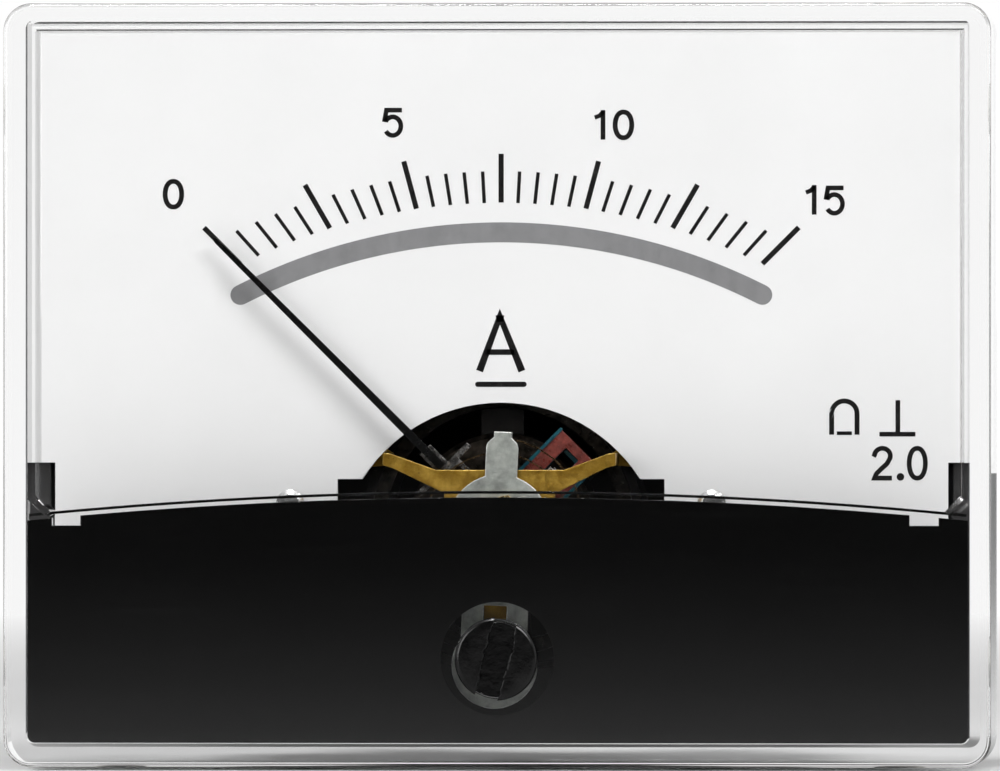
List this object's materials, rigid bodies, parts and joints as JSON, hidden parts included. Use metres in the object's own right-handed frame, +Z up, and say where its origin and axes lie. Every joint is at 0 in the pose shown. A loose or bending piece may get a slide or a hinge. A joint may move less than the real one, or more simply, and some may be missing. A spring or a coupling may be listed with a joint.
{
  "type": "analog panel meter",
  "caption": "Rectangular moving-coil panel meter with a clear front, an arched black lower mask, a slotted zero adjuster, a round rear barrel, panel studs and screw terminals.",
  "frame": {"origin": "centre of the barrel on the panel plane, at the back of the front", "axes": "front faces -Y, barrel and terminals point to +Y, +X to the right seen from the front, +Z up"},
  "size_m": [0.06, 0.0483, 0.0466],
  "materials": {
    "clear_plastic": "clear polished",
    "black_gloss": "gloss moulded",
    "black_moulded": "satin moulded",
    "zinc_steel": "zinc plated",
    "bright_steel": "bright",
    "black_steel": "blackened",
    "dial_white": "matt lacquer",
    "die_cast": "as cast, dull",
    "soft_iron": "blackened",
    "magnet": "as cast",
    "brass_sheet": "satin",
    "brass_turned": "turned",
    "ruby": "polished",
    "spring_bronze": "drawn",
    "lever_steel": "satin plated",
    "former_teal": "enamelled",
    "winding_red": "enamelled copper",
    "pointer_black": "matt black",
    "cross_aluminium": "stamped",
    "tinned_brass": "tinned",
    "shunt_alloy": "rolled",
    "lead_red": "insulated",
    "lead_black": "insulated"
  },
  "bodies": {
    "case": {"front_cover": "clear_plastic", "lower_mask": "black_gloss", "base_housing": "black_moulded", "cover_screws": "zinc_steel", "panel_studs": "zinc_steel", "dial_plate": "dial_white", "dial_screws": "bright_steel", "movement_chassis": "die_cast", "chassis_screws": "zinc_steel", "yoke_ring": "soft_iron", "core_magnet": "magnet", "front_bridge": "brass_sheet", "bridge_screws": "black_steel", "front_jewel_screw": "brass_turned", "front_jewel": "ruby", "front_lock_nut": "brass_turned", "rear_spring_tab": "brass_turned", "rear_jewel_screw": "brass_turned", "rear_jewel": "ruby", "rear_lock_nut": "brass_turned", "rear_hairspring": "spring_bronze", "terminal_studs": "brass_turned", "terminal_nuts": "brass_turned", "terminal_washers": "brass_turned", "lock_washers": "zinc_steel", "solder_tags": "tinned_brass", "shunt": "shunt_alloy", "lead_wire_front": "lead_red", "lead_wire_rear": "lead_black"},
    "adjuster": {"zero_adjuster": "black_gloss"},
    "lever": {"zero_lever": "lever_steel", "front_hairspring": "spring_bronze"},
    "coil": {"coil_former": "former_teal", "coil_winding": "winding_red", "pivot_front": "bright_steel", "pivot_rear": "bright_steel", "pointer": "pointer_black", "balance_cross": "cross_aluminium", "balance_weights": "bright_steel"}
  },
  "joints": [
    {"name": "zero_adjust_turn", "type": "hinge", "parent": "case", "child": "adjuster", "pos_m": [0, 0, -0.0165], "axis": [0, 1, 0], "range_deg": [-60, 20]},
    {"name": "zero_lever_turn", "type": "hinge", "parent": "case", "child": "lever", "pos_m": [0, 0, -0.0085], "axis": [0, 1, 0], "range_deg": [-6.2, 2.2]},
    {"name": "pointer_swing", "type": "hinge", "parent": "lever", "child": "coil", "pos_m": [0, 0, -0.0085], "axis": [0, 1, 0], "range_deg": [-3, 94], "stiffness_Nm_per_rad": 0.00003, "deforming": ["front_hairspring", "rear_hairspring"]}
  ],
  "couplings": [
    {"joint": "zero_lever_turn", "follows": "zero_adjust_turn", "ratio": 0.1}
  ]
}
